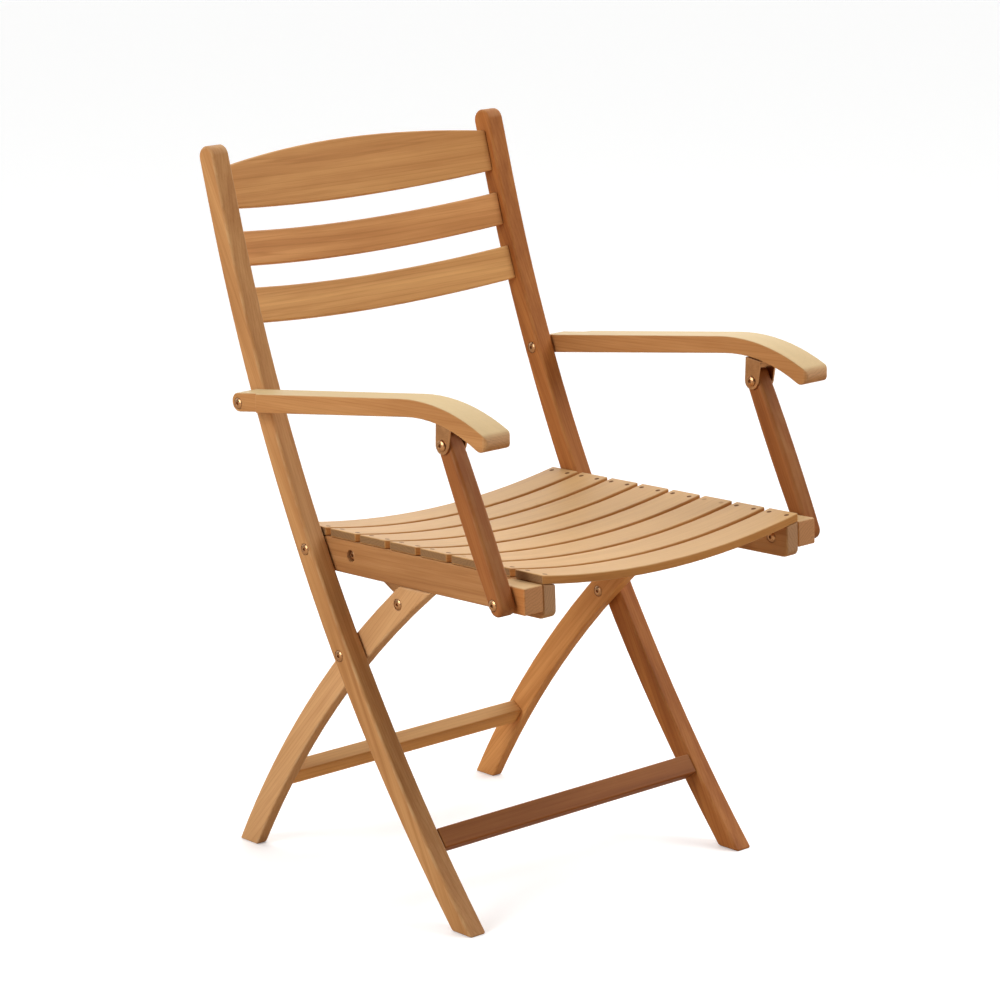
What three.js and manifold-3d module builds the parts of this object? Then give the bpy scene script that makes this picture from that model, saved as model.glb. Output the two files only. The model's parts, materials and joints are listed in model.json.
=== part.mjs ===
// Teak folding armchair, modelled open. Millimetres, +Z up, the sitter faces -Y, the floor is z = 0.
//
// Two curved posts carry the back. The seat and the rear legs both hinge on the posts, and a metal link
// ties them together under the seat. Each arm hinges on a post and is held up by a strut that stands on
// the front of the seat, so post, arm, strut and seat rail form a parallelogram that folds with the seat.

import * as THREE from 'three';
import { mergeVertices } from 'three/addons/utils/BufferGeometryUtils.js';
import Module from 'manifold-3d';

const wasm = await Module();
wasm.setup();

// ---------- driving dimensions ----------

const GAP = 0.3; // clearance between touching pieces
const HEIGHT = 890; // top of the posts

// Layers of timber, as distances from the middle plane of the chair.
const POST_INNER = 210;
const POST_OUTER = 236;
const RAIL_INNER = 189;
const RAIL_OUTER = 208.5;
const LEG_INNER = 192;
const LEG_OUTER = 208.5;
const BLOCK_OUTER = 237.5;
const STRUT_INNER = 238.5;
const STRUT_OUTER = 262;
const ARM_INNER = 238;
const TONGUE_OUTER = 269;
const ARM_OUTER_REAR = 276;
const ARM_OUTER_FRONT = 278;

// Pivots, as [y, z]. Arm and strut pivots are worked out so that the parallelogram is exact.
const SEAT_PIVOT = [97.6, 418.3];
const POST_SIDE = [80.4, 172.9]; // seat pivot to arm pivot, and strut foot to strut top
const SEAT_SIDE = [-369.2, 7.4]; // seat pivot to strut foot, and arm pivot to strut top
const ARM_PIVOT = [SEAT_PIVOT[0] + POST_SIDE[0], SEAT_PIVOT[1] + POST_SIDE[1]];
const STRUT_FOOT = [SEAT_PIVOT[0] + SEAT_SIDE[0], SEAT_PIVOT[1] + SEAT_SIDE[1]];
const STRUT_TOP = [ARM_PIVOT[0] + SEAT_SIDE[0], ARM_PIVOT[1] + SEAT_SIDE[1]];
const LEG_PIVOT = [36.9, 296.9];
const LINK_ON_SEAT = [43.7, 415.3];
const LINK_ON_LEG = [-41.7, 371.3];

// Post: a straight upper end, and below it one long circular curve that runs forward to the foot.
const POST_CURVE_TOP = [252.2, 807.6];
const POST_LEAN = THREE.MathUtils.degToRad(15.7);
const POST_RADIUS = 2128;
const POST_HALF_WIDTH_FOOT = 13;
const POST_HALF_WIDTH_TOP = 14;
const POST_SWELL = 2; // extra half width round the rear leg's pivot
const POST_SWELL_HEIGHT = 260;
const POST_SWELL_LENGTH = 170;

// Rear leg: one circular curve through its pivot.
const LEG_LEAN = THREE.MathUtils.degToRad(44.85);
const LEG_RADIUS = 1373.6;
const LEG_HALF_WIDTH_TOP = 17.5;
const LEG_HALF_WIDTH_FOOT = 15.2;

// Seat, in its own frame: origin at the seat pivot, y to the rear along the rail, z square to it.
const SEAT_TILT = THREE.MathUtils.degToRad(-2.06);
const RAIL_FRONT = -396.5;
const RAIL_REAR = 41;
const RAIL_TOP = 13.5;
const RAIL_HEIGHT = 42;
const RAIL_CORNER = 9;
const BLOCK_LENGTH = 52;
const BLOCK_HEIGHT = 32;
const SLAT_COUNT = 8;
const SLAT_PITCH = 55.5;
const SLAT_WIDTH = 47.5;
const SLAT_THICKNESS = 10.5;
const SLAT_RADIUS = 1165; // hollow of the seat across its width

// Back slats: height of each one's middle on the post, its height, and the rise of its top edge.
const BACK_SLATS = [
  { name: 'back_slat_top', level: 838, height: 52, crown: 17 },
  { name: 'back_slat_middle', level: 765, height: 42, crown: -6 },
  { name: 'back_slat_bottom', level: 698, height: 43, crown: -6 },
];
const BACK_SLAT_THICKNESS = 13;
const BACK_SLAT_BOW = 20; // how far the middle lies behind the ends
const BACK_SLAT_DROP = 6; // how far the lower edge sags in the middle
const BACK_SLAT_SETBACK = 9; // from the post's front edge

const STRETCHER_DEPTH = 20;
const FRONT_STRETCHER_LEVEL = 93;
const FRONT_STRETCHER_HEIGHT = 26;
const REAR_STRETCHER_LEVEL = 101.5;
const REAR_STRETCHER_HEIGHT = 24.5;

// Arm, as seen from the side.
const ARM_TOP_START = [165.2, 606];
const ARM_TOP_ARC = { centre: [-168, 378.5], radius: 270, start: -131.8 };
const ARM_UNDER_START = [160.7, 583.5];
const ARM_UNDER_ARC = { centre: [-171.7, 414.1], radius: 214, start: -142 };
const ARM_NOSE = { centre: [-270.17, 616.45], radius: 11.04 }; // touches both arcs
const ARM_FRONT = ARM_NOSE.centre[0] - ARM_NOSE.radius;
const ARM_CORNER = 6; // rounding of the front corners, seen from above
const ARM_SLOPE = THREE.MathUtils.degToRad(7.8);
const TONGUE_CENTRE = [ARM_PIVOT[0], ARM_PIVOT[1] + 1.5];
const TONGUE_RADIUS = 11.6;
const TONGUE_FRONT = 135.2;
const TONGUE_BLEND = 9;

const STRUT_HALF_WIDTH = 11;
const STRUT_SWELL = 2.2; // how much further each long edge stands out halfway up
const STRUT_FOOT_FORWARD = 2.7; // the middle line lies this far in front of the foot pivot
const STRUT_TOP_BACK = 1.6; // and this far behind the top pivot
const STRUT_BELOW = 4; // foot pivot to the centre of the rounded foot
const STRUT_TOP_RADIUS = 14;
const STRUT_STEPS = 6;

// Metal: bracket over the strut's top, link between seat rail and rear leg, and the pivot bolts.
const PLATE = 2.5;
const BRACKET_CLEARANCE = 0.4;
const BRACKET_RISE = 27.8; // strut pivot to the upper face of the bracket
const BRACKET_TILT = THREE.MathUtils.degToRad(6);
const BRACKET_LENGTH = 25.3;
const BRACKET_EYE = 10.8;
const LINK_THICKNESS = 3;
const LINK_EYE = 9;
const SHANK_RADIUS = 4;
const HEAD_RADIUS = 6.8;
const HEAD_HEIGHT = 3.2;
const HEAD_RIM = 1.4; // height of the head's upright edge
const HEAD_SHOULDER = 2.6;
const HEAD_SHOULDER_RADIUS = 4.9;
const SINK = 1.6; // depth of the counterbore under a normal head
const DEEP_SINK = 5;
const ROUND_SEGMENTS = 16;

const QUARTER = Math.PI / 2;
const FAR = 400; // farther out than any piece reaches, for cutters
const NEAR = 100; // nearer the middle plane than any bolted piece, for cutters

const TEAK = { color: 0xc99a62, roughness: 0.55, metalness: 0 };
const TEAK_PALE = { color: 0xdcb987, roughness: 0.55, metalness: 0 };
const BRONZE = { color: 0xa98458, roughness: 0.32, metalness: 1 };

// ---------- solids ----------

// Closed mesh with shared corners, as a solid that can be joined and cut.
function toSolid(geometry) {
  const bare = geometry.clone();
  bare.deleteAttribute('normal');
  bare.deleteAttribute('uv');
  const merged = mergeVertices(bare, 1e-4);
  return new wasm.Manifold(new wasm.Mesh({
    numProp: 3,
    vertProperties: new Float32Array(merged.attributes.position.array),
    triVerts: new Uint32Array(merged.index.array),
  }));
}

function toGeometry(solid) {
  const mesh = solid.getMesh();
  const geometry = new THREE.BufferGeometry();
  geometry.setAttribute('position', new THREE.BufferAttribute(new Float32Array(mesh.vertProperties), 3));
  geometry.setIndex(new THREE.BufferAttribute(new Uint32Array(mesh.triVerts), 1));
  geometry.computeVertexNormals();
  return geometry;
}

// Turns a flat outline's own axes into the chair's.
function standUp(geometry, first, second, third) {
  return geometry.applyMatrix4(new THREE.Matrix4().makeBasis(first, second, third));
}

const AXIS_X = new THREE.Vector3(1, 0, 0);
const AXIS_Y = new THREE.Vector3(0, 1, 0);
const AXIS_Z = new THREE.Vector3(0, 0, 1);
const AXIS_MINUS_Y = new THREE.Vector3(0, -1, 0);

// Outline seen from the side, as [y, z] points, made thick from x = from to x = to.
function sideSlab(points, from, to) {
  const shape = new THREE.Shape(points.map(([y, z]) => new THREE.Vector2(y, z)));
  const slab = new THREE.ExtrudeGeometry(shape, { depth: to - from, bevelEnabled: false });
  slab.translate(0, 0, from);
  return standUp(slab, AXIS_Y, AXIS_Z, AXIS_X);
}

// Outline seen from the front, as [x, z] points, made thick from y = from to y = to.
function frontSlab(points, from, to) {
  const shape = new THREE.Shape(points.map(([x, z]) => new THREE.Vector2(x, z)));
  const slab = new THREE.ExtrudeGeometry(shape, { depth: to - from, bevelEnabled: false });
  slab.translate(0, 0, -to);
  return standUp(slab, AXIS_X, AXIS_Z, AXIS_MINUS_Y);
}

// Outline seen from above, as [x, y] points, made thick from z = from to z = to.
function planSlab(points, from, to) {
  const shape = new THREE.Shape(points.map(([x, y]) => new THREE.Vector2(x, y)));
  const slab = new THREE.ExtrudeGeometry(shape, { depth: to - from, bevelEnabled: false });
  return slab.translate(0, 0, from);
}

// Points of an arc, from angle to angle in radians, ends included.
function arc([cy, cz], radius, fromAngle, toAngle, steps) {
  const points = [];
  for (let i = 0; i <= steps; i += 1) {
    const angle = fromAngle + ((toAngle - fromAngle) * i) / steps;
    points.push([cy + radius * Math.cos(angle), cz + radius * Math.sin(angle)]);
  }
  return points;
}

// Turned solid along X from a profile of [x, radius] points that starts and ends on the axis.
function turned(profile, [y, z]) {
  const points = profile.map(([x, radius]) => new THREE.Vector2(radius, x));
  const lathe = new THREE.LatheGeometry(points, ROUND_SEGMENTS);
  standUp(lathe, AXIS_Y, AXIS_X, AXIS_Z.clone().negate());
  return lathe.translate(0, y, z);
}

// Hole along X through everything, widened where a bolt head sits: past outerSeat on the outer side
// and short of innerSeat on the inner side. Either seat may be left out.
function hole(pivot, { outerSeat = null, innerSeat = null }) {
  const bore = SHANK_RADIUS + GAP;
  const wide = HEAD_RADIUS + 2 * GAP;
  const profile = [[NEAR, 0]];
  if (innerSeat === null) {
    profile.push([NEAR, bore]);
  } else {
    profile.push([NEAR, wide], [innerSeat, wide], [innerSeat, bore]);
  }
  if (outerSeat === null) {
    profile.push([FAR, bore]);
  } else {
    profile.push([outerSeat, bore], [outerSeat, wide], [FAR, wide]);
  }
  profile.push([FAR, 0]);
  return toSolid(turned(profile, pivot));
}

function cut(solid, ...tools) {
  return tools.reduce((rest, tool) => rest.subtract(tool), solid);
}

// ---------- timber, made for the +X side and mirrored for the other ----------

const POST_ARC_CENTRE = [
  POST_CURVE_TOP[0] - POST_RADIUS * Math.cos(POST_LEAN),
  POST_CURVE_TOP[1] + POST_RADIUS * Math.sin(POST_LEAN),
];

// y of the post's middle line at height z, moved to the rear by offset square to the line.
function postY(z, offset = 0) {
  if (z >= POST_CURVE_TOP[1]) {
    const alongSlope = (z - POST_CURVE_TOP[1]) * Math.tan(POST_LEAN);
    return POST_CURVE_TOP[0] + alongSlope + offset / Math.cos(POST_LEAN);
  }
  return POST_ARC_CENTRE[0] + Math.sqrt((POST_RADIUS + offset) ** 2 - (z - POST_ARC_CENTRE[1]) ** 2);
}

// Lean of the post from the vertical at height z.
function postLean(z) {
  if (z >= POST_CURVE_TOP[1]) {
    return POST_LEAN;
  }
  return Math.asin((POST_ARC_CENTRE[1] - z) / POST_RADIUS);
}

function postHalfWidth(z) {
  const away = (z - POST_SWELL_HEIGHT) / POST_SWELL_LENGTH;
  const taper = ((POST_HALF_WIDTH_TOP - POST_HALF_WIDTH_FOOT) * z) / HEIGHT;
  return POST_HALF_WIDTH_FOOT + taper + POST_SWELL * Math.exp(-away * away);
}

function postSolid() {
  const steps = 24;
  const roundTop = HEIGHT - POST_HALF_WIDTH_TOP;
  const rear = [];
  const front = [];
  for (let i = 0; i <= steps; i += 1) {
    const z = (roundTop * i) / steps;
    const half = postHalfWidth(z);
    rear.push([postY(z, half), z]);
    front.push([postY(z, -half), z]);
  }
  const topCentre = [postY(roundTop), roundTop];
  const crown = arc(topCentre, POST_HALF_WIDTH_TOP, -POST_LEAN, Math.PI - POST_LEAN, 10);
  const outline = [...rear.slice(0, -1), ...crown, ...front.slice(0, -1).reverse()];
  return cut(
    toSolid(sideSlab(outline, POST_INNER, POST_OUTER)),
    hole(SEAT_PIVOT, { outerSeat: POST_OUTER - SINK }),
    hole(LEG_PIVOT, { outerSeat: POST_OUTER - SINK }),
    hole(ARM_PIVOT, { innerSeat: POST_INNER + SINK }),
  );
}

const LEG_ARC_CENTRE = [
  LEG_PIVOT[0] - LEG_RADIUS * Math.cos(LEG_LEAN),
  LEG_PIVOT[1] - LEG_RADIUS * Math.sin(LEG_LEAN),
];

function legY(z, offset = 0) {
  return LEG_ARC_CENTRE[0] + Math.sqrt((LEG_RADIUS + offset) ** 2 - (z - LEG_ARC_CENTRE[1]) ** 2);
}

function legLean(z) {
  return Math.asin((z - LEG_ARC_CENTRE[1]) / LEG_RADIUS);
}

// Height of the seat rail's lower edge above the floor at y.
function railUnderside(y) {
  const fromPivot = y - SEAT_PIVOT[0];
  return SEAT_PIVOT[1] + fromPivot * Math.tan(SEAT_TILT) + (RAIL_TOP - RAIL_HEIGHT) / Math.cos(SEAT_TILT);
}

function legSolid() {
  const steps = 14;
  const reach = SEAT_PIVOT[1];
  const rear = [];
  const front = [];
  for (let i = 0; i <= steps; i += 1) {
    const z = (reach * i) / steps;
    const half = LEG_HALF_WIDTH_FOOT + ((LEG_HALF_WIDTH_TOP - LEG_HALF_WIDTH_FOOT) * i) / steps;
    rear.push([legY(z, half), z]);
    front.push([legY(z, -half), z]);
  }
  const blank = toSolid(sideSlab([...rear, ...front.reverse()], LEG_INNER, LEG_OUTER));
  const above = sideSlab([
    [-FAR, railUnderside(-FAR) - GAP],
    [FAR, railUnderside(FAR) - GAP],
    [FAR, HEIGHT],
    [-FAR, HEIGHT],
  ], 0, FAR);
  return cut(
    blank,
    toSolid(above),
    hole(LEG_PIVOT, { innerSeat: LEG_INNER + SINK }),
    hole(LINK_ON_LEG, { outerSeat: LEG_OUTER - SINK }),
  );
}

// Height of the seat's surface over its lowest line at x, in the seat's own frame.
function dish(x) {
  return SLAT_RADIUS - Math.sqrt(SLAT_RADIUS ** 2 - x * x);
}

function railSolid() {
  const bottom = RAIL_TOP - RAIL_HEIGHT;
  const side = [
    [RAIL_REAR, bottom],
    [RAIL_REAR, RAIL_TOP + 1],
    [RAIL_FRONT, RAIL_TOP + 1],
    ...arc([RAIL_FRONT + RAIL_CORNER, bottom + RAIL_CORNER], RAIL_CORNER, 2 * QUARTER, 3 * QUARTER, 5),
  ];
  const fall = dish(RAIL_OUTER) - dish(RAIL_INNER);
  const section = [
    [RAIL_INNER, bottom - 1],
    [RAIL_OUTER, bottom - 1],
    [RAIL_OUTER, RAIL_TOP - GAP],
    [RAIL_INNER, RAIL_TOP - fall - GAP],
  ];
  const blank = toSolid(sideSlab(side.reverse(), RAIL_INNER - 1, RAIL_OUTER + 1));
  const bevelled = toSolid(frontSlab(section, RAIL_FRONT - 1, RAIL_REAR + 1));
  return cut(
    blank.intersect(bevelled),
    hole([0, 0], { innerSeat: RAIL_INNER + SINK }),
    hole(inSeat(LINK_ON_SEAT), { outerSeat: RAIL_OUTER - DEEP_SINK }),
    hole(inSeat(STRUT_FOOT), { innerSeat: RAIL_INNER + SINK }),
  );
}

// A [y, z] point of the chair in the seat's own frame.
function inSeat([y, z]) {
  const dy = y - SEAT_PIVOT[0];
  const dz = z - SEAT_PIVOT[1];
  const cos = Math.cos(SEAT_TILT);
  const sin = Math.sin(SEAT_TILT);
  return [dy * cos + dz * sin, dz * cos - dy * sin];
}

function blockSolid() {
  const bottom = RAIL_TOP - BLOCK_HEIGHT;
  const top = RAIL_TOP - GAP;
  const rear = RAIL_FRONT + BLOCK_LENGTH;
  const outline = [[RAIL_FRONT, bottom], [rear, bottom], [rear, top], [RAIL_FRONT, top]];
  const block = toSolid(sideSlab(outline, RAIL_OUTER + GAP, BLOCK_OUTER));
  return cut(block, hole(inSeat(STRUT_FOOT), {}));
}

// Seat slat number index, counted from the front, in the seat's own frame.
function seatSlatGeometry(index) {
  const steps = 16;
  const end = Math.asin(RAIL_OUTER / SLAT_RADIUS);
  const centre = [0, RAIL_TOP + SLAT_THICKNESS - dish(RAIL_OUTER) + SLAT_RADIUS];
  const under = [];
  for (let i = 0; i <= steps; i += 1) {
    const x = -RAIL_OUTER + (2 * RAIL_OUTER * i) / steps;
    under.push([x, RAIL_TOP - dish(RAIL_OUTER) + dish(x)]);
  }
  const top = arc(centre, SLAT_RADIUS, end - QUARTER, -end - QUARTER, steps);
  const front = RAIL_FRONT + index * SLAT_PITCH;
  return frontSlab([...under, ...top], front, front + SLAT_WIDTH);
}

function backSlatSolid({ height, crown }) {
  const steps = 16;
  const end = POST_INNER - GAP;
  const front = -POST_HALF_WIDTH_TOP + BACK_SLAT_SETBACK;
  const low = -height / 2;
  const high = height / 2;
  const bowAt = (x) => BACK_SLAT_BOW * (1 - (x / end) ** 2);
  const face = [];
  const rear = [];
  const lower = [];
  const upper = [];
  for (let i = 0; i <= steps; i += 1) {
    const x = -end + (2 * end * i) / steps;
    const middle = 1 - (x / end) ** 2;
    face.push([x, front + bowAt(x)]);
    rear.push([x, front + BACK_SLAT_THICKNESS + bowAt(x)]);
    lower.push([x, low - BACK_SLAT_DROP * middle]);
    upper.push([x, high + crown * middle]);
  }
  const reach = HEIGHT;
  const bowed = toSolid(planSlab([...face, ...rear.reverse()], -reach, reach));
  const outline = toSolid(frontSlab([...lower, ...upper.reverse()], -reach, reach));
  return bowed.intersect(outline);
}

// Bar that joins a pair of posts or legs, centred on the origin.
function stretcherGeometry(halfLength, height) {
  return new THREE.BoxGeometry(2 * halfLength, STRETCHER_DEPTH, height);
}

// Angle of the line from one point to another.
function bearing(from, to) {
  return Math.atan2(to[1] - from[1], to[0] - from[0]);
}

// Points of one long edge of the arm, from its nose to the rear end of its straight part.
function armEdge({ centre, radius, start }, rear, steps) {
  const bendStart = Math.acos((start - centre[0]) / radius);
  return [...arc(centre, radius, bearing(centre, ARM_NOSE.centre), bendStart, steps), rear];
}

function armSolid() {
  const top = armEdge(ARM_TOP_ARC, ARM_TOP_START, 10);
  const under = armEdge(ARM_UNDER_ARC, ARM_UNDER_START, 9);
  const chin = bearing(ARM_NOSE.centre, ARM_UNDER_ARC.centre);
  const brow = bearing(ARM_TOP_ARC.centre, ARM_NOSE.centre) - 4 * QUARTER;
  const nose = arc(ARM_NOSE.centre, ARM_NOSE.radius, chin, brow, 13);
  const tongueEnd = arc(TONGUE_CENTRE, TONGUE_RADIUS, QUARTER - ARM_SLOPE, -QUARTER - ARM_SLOPE, 9);
  const outline = [...nose.slice(0, -1), ...top, ...tongueEnd, ...under.slice(1).reverse()];
  const blank = toSolid(sideSlab(outline.reverse(), ARM_INNER - 1, ARM_OUTER_FRONT + 1));
  return cut(
    blank.intersect(toSolid(planSlab(armPlan(), 0, HEIGHT))),
    hole(ARM_PIVOT, { outerSeat: TONGUE_OUTER - SINK }),
  );
}

// The arm's outline from above. The outer face is cut back where the arm meets the post.
function armPlan() {
  const cornerY = ARM_FRONT + ARM_CORNER;
  const blendCentre = [TONGUE_OUTER + TONGUE_BLEND, TONGUE_FRONT + TONGUE_BLEND];
  return [
    ...arc([ARM_INNER + ARM_CORNER, cornerY], ARM_CORNER, -2 * QUARTER, -QUARTER, 4),
    ...arc([ARM_OUTER_FRONT - ARM_CORNER, cornerY], ARM_CORNER, -QUARTER, 0, 4),
    [ARM_OUTER_REAR, TONGUE_FRONT],
    ...arc(blendCentre, TONGUE_BLEND, -QUARTER, -2 * QUARTER, 5).slice(1),
    [TONGUE_OUTER, FAR],
    [ARM_INNER, FAR],
  ];
}

// Points between the two ends of a long edge of the strut, which stands out to one side halfway.
function strutEdge([fromY, fromZ], [toY, toZ], side) {
  const points = [];
  for (let i = 1; i < STRUT_STEPS; i += 1) {
    const part = i / STRUT_STEPS;
    const swell = 4 * STRUT_SWELL * part * (1 - part);
    points.push([fromY + (toY - fromY) * part + side * swell, fromZ + (toZ - fromZ) * part]);
  }
  return points;
}

function strutSolid() {
  const length = Math.hypot(...POST_SIDE);
  const rearShoulder = Math.acos((STRUT_HALF_WIDTH + STRUT_TOP_BACK) / STRUT_TOP_RADIUS);
  const frontShoulder = Math.PI - Math.acos((STRUT_HALF_WIDTH - STRUT_TOP_BACK) / STRUT_TOP_RADIUS);
  const footCentre = [-STRUT_FOOT_FORWARD, -STRUT_BELOW];
  const foot = arc(footCentre, STRUT_HALF_WIDTH, Math.PI, 2 * Math.PI, 10);
  const top = arc([0, length], STRUT_TOP_RADIUS, rearShoulder, frontShoulder, 6);
  const outline = [
    ...foot,
    ...strutEdge(foot.at(-1), top[0], 1),
    ...top,
    ...strutEdge(top.at(-1), foot[0], -1),
  ];
  const upright = toSolid(sideSlab(outline, STRUT_INNER, STRUT_OUTER));
  return cut(
    upright,
    hole([0, 0], { outerSeat: STRUT_OUTER - SINK }),
    hole([0, length], {}),
  );
}

// ---------- metal, made for the +X side ----------

// One cheek of the bracket with its eye on the origin, from x = from to x = to.
function cheek(from, to) {
  const half = BRACKET_LENGTH / 2;
  const turn = Math.asin((half - BRACKET_EYE) / BRACKET_RISE);
  const outline = [
    ...arc([0, 0], BRACKET_EYE, Math.PI - turn, 2 * Math.PI + turn, 10),
    [half, BRACKET_RISE],
    [-half, BRACKET_RISE],
  ];
  return toSolid(sideSlab(outline, from, to));
}

function bracketSolid() {
  const inner = STRUT_INNER - BRACKET_CLEARANCE;
  const outer = STRUT_OUTER + BRACKET_CLEARANCE;
  const half = BRACKET_LENGTH / 2;
  const low = BRACKET_RISE - PLATE;
  const web = [[-half, low], [half, low], [half, BRACKET_RISE], [-half, BRACKET_RISE]];
  return cut(
    cheek(inner - PLATE, inner)
      .add(cheek(outer, outer + PLATE))
      .add(toSolid(sideSlab(web, inner - PLATE, outer + PLATE))),
    hole([0, 0], {}),
  );
}

const LINK_OUTER = RAIL_INNER - GAP;
const LINK_INNER = LINK_OUTER - LINK_THICKNESS;

// Flat bar with two eyes, on the inner side of the seat rail.
function linkSolid() {
  const across = LINK_ON_LEG[0] - LINK_ON_SEAT[0];
  const down = LINK_ON_LEG[1] - LINK_ON_SEAT[1];
  const facing = Math.atan2(down, across);
  const outline = [
    ...arc(LINK_ON_LEG, LINK_EYE, facing - QUARTER, facing + QUARTER, 8),
    ...arc(LINK_ON_SEAT, LINK_EYE, facing + QUARTER, facing + 3 * QUARTER, 8),
  ];
  return cut(
    toSolid(sideSlab(outline, LINK_INNER, LINK_OUTER)),
    hole(LINK_ON_SEAT, {}),
    hole(LINK_ON_LEG, {}),
  );
}

// Domed bolt whose head rests at x = seat and whose shank reaches in to x = end.
function boltGeometry(pivot, seat, end) {
  return turned([
    [end, 0],
    [end, SHANK_RADIUS],
    [seat + GAP, SHANK_RADIUS],
    [seat + GAP, HEAD_RADIUS],
    [seat + HEAD_RIM, HEAD_RADIUS],
    [seat + HEAD_SHOULDER, HEAD_SHOULDER_RADIUS],
    [seat + HEAD_HEIGHT, 0],
  ], pivot);
}

// Domed cap nut on the inner end of a bolt. Its head rests at x = seat, its stub reaches out to x = end.
function nutGeometry(pivot, seat, end) {
  return turned([
    [seat - HEAD_HEIGHT, 0],
    [seat - HEAD_SHOULDER, HEAD_SHOULDER_RADIUS],
    [seat - HEAD_RIM, HEAD_RADIUS],
    [seat - GAP, HEAD_RADIUS],
    [seat - GAP, SHANK_RADIUS],
    [end, SHANK_RADIUS],
    [end, 0],
  ], pivot);
}

// Each pivot's bolt and cap nut: where the bolt head and the nut rest, and where bolt and stub meet.
const FASTENERS = [
  { name: 'seat_pivot', at: SEAT_PIVOT, head: POST_OUTER - SINK, nut: RAIL_INNER + SINK },
  { name: 'leg_pivot', at: LEG_PIVOT, head: POST_OUTER - SINK, nut: LEG_INNER + SINK },
  { name: 'arm_pivot', at: ARM_PIVOT, head: TONGUE_OUTER - SINK, nut: POST_INNER + SINK },
  {
    name: 'strut_top',
    at: STRUT_TOP,
    head: STRUT_OUTER + BRACKET_CLEARANCE + PLATE,
    nut: STRUT_INNER - BRACKET_CLEARANCE - PLATE,
  },
  { name: 'strut_foot', at: STRUT_FOOT, head: STRUT_OUTER - SINK, nut: RAIL_INNER + SINK },
  { name: 'link_seat', at: LINK_ON_SEAT, head: RAIL_OUTER - DEEP_SINK, nut: LINK_INNER },
  { name: 'link_leg', at: LINK_ON_LEG, head: LEG_OUTER - SINK, nut: LINK_INNER, stub: LINK_THICKNESS },
];
const STUB_LENGTH = 5;

// ---------- assembly ----------

const chair = new THREE.Group();

function addMesh(parent, name, geometry, look) {
  const mesh = new THREE.Mesh(geometry, new THREE.MeshStandardMaterial(look));
  mesh.name = name;
  parent.add(mesh);
  return mesh;
}

// The same geometry on the other side of the chair, with its faces turned to point out again.
function mirrored(geometry) {
  const copy = geometry.clone();
  copy.scale(-1, 1, 1);
  const corners = copy.index.array;
  for (let i = 0; i < corners.length; i += 3) {
    [corners[i + 1], corners[i + 2]] = [corners[i + 2], corners[i + 1]];
  }
  copy.computeVertexNormals();
  return copy;
}

// A piece and its mirror image. The sitter's left is +X.
function addPair(parent, name, geometry, look) {
  return [
    addMesh(parent, `${name}_left`, geometry, look),
    addMesh(parent, `${name}_right`, mirrored(geometry), look),
  ];
}

function addBackFrame() {
  addPair(chair, 'post', toGeometry(postSolid()), TEAK);
  for (const slat of BACK_SLATS) {
    const mesh = addMesh(chair, slat.name, toGeometry(backSlatSolid(slat)), TEAK);
    mesh.position.set(0, postY(slat.level), slat.level);
    mesh.rotation.x = -postLean(slat.level);
  }
}

function addFrontStretcher() {
  const level = FRONT_STRETCHER_LEVEL;
  const setback = postHalfWidth(level) - STRETCHER_DEPTH / 2;
  const geometry = stretcherGeometry(POST_INNER - GAP, FRONT_STRETCHER_HEIGHT);
  const bar = addMesh(chair, 'front_stretcher', geometry, TEAK);
  bar.position.set(0, postY(level, -setback), level);
  bar.rotation.x = -postLean(level);
}

function addRearLegs() {
  addPair(chair, 'rear_leg', toGeometry(legSolid()), TEAK);
  const level = REAR_STRETCHER_LEVEL;
  const geometry = stretcherGeometry(LEG_INNER - GAP, REAR_STRETCHER_HEIGHT);
  const bar = addMesh(chair, 'rear_stretcher', geometry, TEAK);
  bar.position.set(0, legY(level), level);
  bar.rotation.x = legLean(level);
}

function addSeat() {
  const seat = new THREE.Group();
  seat.position.set(0, ...SEAT_PIVOT);
  seat.rotation.x = SEAT_TILT;
  chair.add(seat);
  addPair(seat, 'seat_rail', toGeometry(railSolid()), TEAK);
  addPair(seat, 'spacer_block', toGeometry(blockSolid()), TEAK);
  for (let index = 0; index < SLAT_COUNT; index += 1) {
    addMesh(seat, `seat_slat_${index + 1}`, seatSlatGeometry(index), TEAK_PALE);
  }
}

function addArms() {
  addPair(chair, 'arm', toGeometry(armSolid()), TEAK_PALE);
  const strutLean = -Math.atan2(POST_SIDE[0], POST_SIDE[1]);
  for (const mesh of addPair(chair, 'strut', toGeometry(strutSolid()), TEAK)) {
    mesh.position.set(0, ...STRUT_FOOT);
    mesh.rotation.x = strutLean;
  }
  for (const mesh of addPair(chair, 'strut_bracket', toGeometry(bracketSolid()), BRONZE)) {
    mesh.position.set(0, ...STRUT_TOP);
    mesh.rotation.x = BRACKET_TILT;
  }
}

function addMetal() {
  addPair(chair, 'fold_link', toGeometry(linkSolid()), BRONZE);
  for (const { name, at, head, nut, stub = STUB_LENGTH } of FASTENERS) {
    addPair(chair, `${name}_bolt`, boltGeometry(at, head, nut + stub + GAP), BRONZE);
    addPair(chair, `${name}_nut`, nutGeometry(at, nut, nut + stub), BRONZE);
  }
}

addBackFrame();
addFrontStretcher();
addRearLegs();
addSeat();
addArms();
addMetal();

export default chair;
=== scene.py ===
import json
import math
import random

import bmesh
import bpy
import numpy as np
from mathutils import Matrix, Vector
from mathutils.bvhtree import BVHTree


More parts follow.
